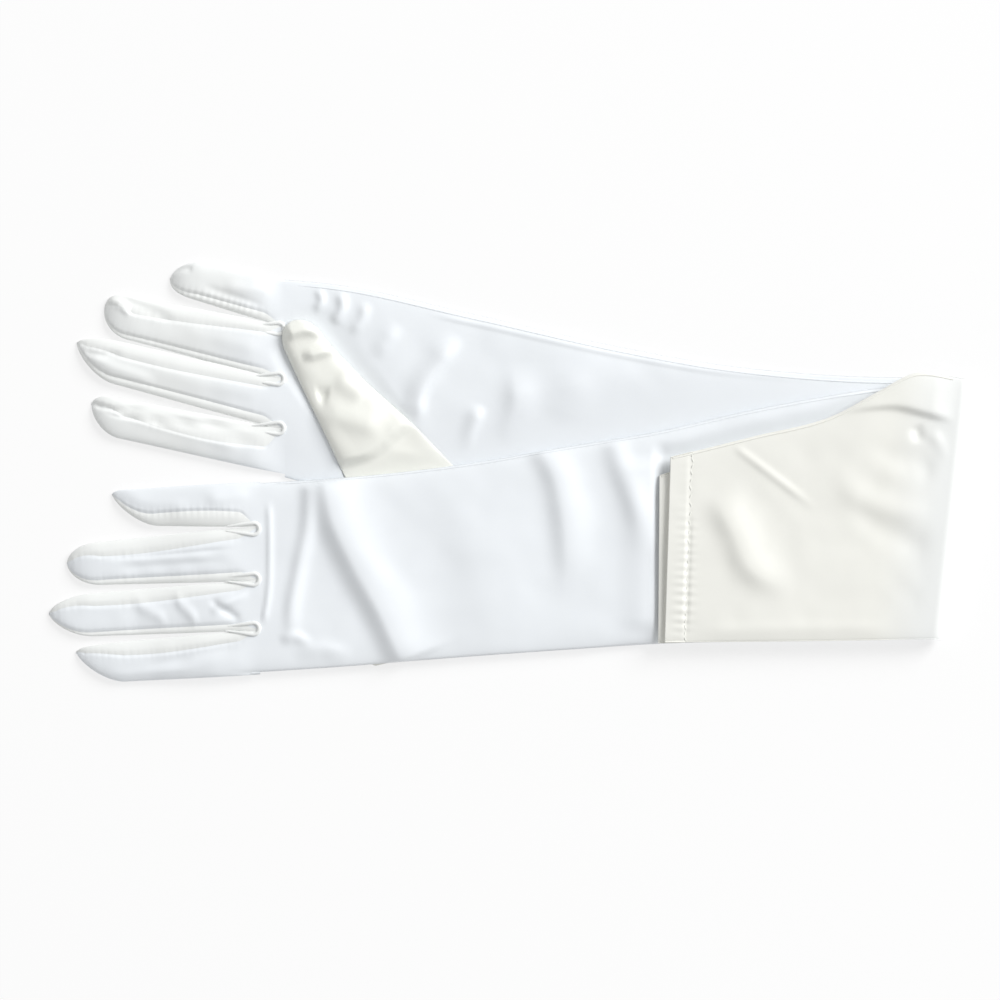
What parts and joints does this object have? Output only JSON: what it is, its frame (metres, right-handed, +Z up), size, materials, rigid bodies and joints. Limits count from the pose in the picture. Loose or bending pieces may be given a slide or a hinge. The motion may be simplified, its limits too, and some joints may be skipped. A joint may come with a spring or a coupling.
{
  "type": "opera gloves",
  "caption": "Pair of long stretch-satin opera gloves laid flat and crossed, one on the other, folded over together at the upper arm, with free fingers, thumbs and cuffs.",
  "frame": {"origin": "centre of the folded pair's plan, on the surface the gloves lie on", "axes": "+Z up, +X from the fingertips towards the folded upper arms, +Y from the right glove's hand towards the left glove's hand"},
  "size_m": [0.3574, 0.1646, 0.0102],
  "materials": {
    "white_satin": "satin",
    "cream_satin": "satin",
    "thread": "matte"
  },
  "bodies": {
    "left_glove": {"left_back": "white_satin", "left_palm": "white_satin", "left_side_seam": "cream_satin"},
    "left_cuff": {"left_cuff_back": "cream_satin", "left_cuff_palm": "cream_satin", "left_cuff_seam": "cream_satin", "left_hem_back": "cream_satin", "left_hem_palm": "cream_satin", "left_hem_stitches": "thread"},
    "left_thumb": {"left_thumb_back": "cream_satin", "left_thumb_palm": "cream_satin"},
    "left_index": {"left_index_back": "white_satin", "left_index_palm": "white_satin", "left_index_strip": "cream_satin"},
    "left_middle": {"left_middle_back": "white_satin", "left_middle_palm": "white_satin", "left_middle_strip_low": "cream_satin", "left_middle_strip_high": "cream_satin"},
    "left_ring": {"left_ring_back": "white_satin", "left_ring_palm": "white_satin", "left_ring_strip_low": "cream_satin", "left_ring_strip_high": "cream_satin"},
    "left_little": {"left_little_back": "white_satin", "left_little_palm": "white_satin", "left_little_strip": "cream_satin"},
    "right_glove": {"right_back": "white_satin", "right_palm": "white_satin", "right_side_seam": "cream_satin"},
    "right_cuff": {"right_cuff_back": "cream_satin", "right_cuff_palm": "cream_satin", "right_cuff_seam": "cream_satin", "right_hem_back": "cream_satin", "right_hem_palm": "cream_satin", "right_hem_stitches": "thread"},
    "right_thumb": {"right_thumb_back": "cream_satin", "right_thumb_palm": "cream_satin"},
    "right_index": {"right_index_back": "white_satin", "right_index_palm": "white_satin", "right_index_strip": "cream_satin"},
    "right_middle": {"right_middle_back": "white_satin", "right_middle_palm": "white_satin", "right_middle_strip_low": "cream_satin", "right_middle_strip_high": "cream_satin"},
    "right_ring": {"right_ring_back": "white_satin", "right_ring_palm": "white_satin", "right_ring_strip_low": "cream_satin", "right_ring_strip_high": "cream_satin"},
    "right_little": {"right_little_back": "white_satin", "right_little_palm": "white_satin", "right_little_strip": "cream_satin"}
  },
  "joints": [
    {"name": "right_glove_slide", "type": "slide", "parent": "left_glove", "child": "right_glove", "axis": [-0.9806, -0.1959, 0], "range_m": [0, 0.3]},
    {"name": "left_cuff_fold", "type": "hinge", "parent": "left_glove", "child": "left_cuff", "pos_m": [0.17311, -0.01447, 0.005], "axis": [0.1097, 0.994, 0], "range_deg": [0, 180]},
    {"name": "left_index_lift", "type": "hinge", "parent": "left_glove", "child": "left_index", "pos_m": [-0.08626, 0.00781, 0.002], "axis": [0, 1, 0], "range_deg": [0, 90]},
    {"name": "left_middle_lift", "type": "hinge", "parent": "left_glove", "child": "left_middle", "pos_m": [-0.08626, 0.02631, 0.002], "axis": [0, 1, 0], "range_deg": [0, 90]},
    {"name": "left_ring_lift", "type": "hinge", "parent": "left_glove", "child": "left_ring", "pos_m": [-0.08626, 0.04656, 0.002], "axis": [0, 1, 0], "range_deg": [0, 90]},
    {"name": "left_little_lift", "type": "hinge", "parent": "left_glove", "child": "left_little", "pos_m": [-0.08626, 0.06581, 0.002], "axis": [0, 1, 0], "range_deg": [0, 90]},
    {"name": "right_cuff_fold", "type": "hinge", "parent": "right_glove", "child": "right_cuff", "pos_m": [0.17311, -0.01447, 0.005], "axis": [0.1097, 0.994, 0], "range_deg": [0, 180]},
    {"name": "right_index_lift", "type": "hinge", "parent": "right_glove", "child": "right_index", "pos_m": [-0.09591, -0.07075, 0.0045], "axis": [0, 1, 0], "range_deg": [0, 90]},
    {"name": "right_middle_lift", "type": "hinge", "parent": "right_glove", "child": "right_middle", "pos_m": [-0.09591, -0.05225, 0.0045], "axis": [0, 1, 0], "range_deg": [0, 90]},
    {"name": "right_ring_lift", "type": "hinge", "parent": "right_glove", "child": "right_ring", "pos_m": [-0.09591, -0.032, 0.0045], "axis": [0, 1, 0], "range_deg": [0, 90]},
    {"name": "right_little_lift", "type": "hinge", "parent": "right_glove", "child": "right_little", "pos_m": [-0.09591, -0.01275, 0.0045], "axis": [0, 1, 0], "range_deg": [0, 90]},
    {"name": "left_thumb_lift", "type": "hinge", "parent": "left_glove", "child": "left_thumb", "pos_m": [-0.04343, 0.00391, 0.0045], "axis": [0.9919, 0.127, 0], "range_deg": [0, 110]},
    {"name": "right_thumb_swing", "type": "hinge", "parent": "right_glove", "child": "right_thumb", "pos_m": [-0.04316, -0.07172, 0.001], "axis": [0, 0, 1], "range_deg": [0, 95]}
  ],
  "couplings": [
    {"joint": "right_cuff_fold", "follows": "left_cuff_fold", "ratio": 1}
  ]
}
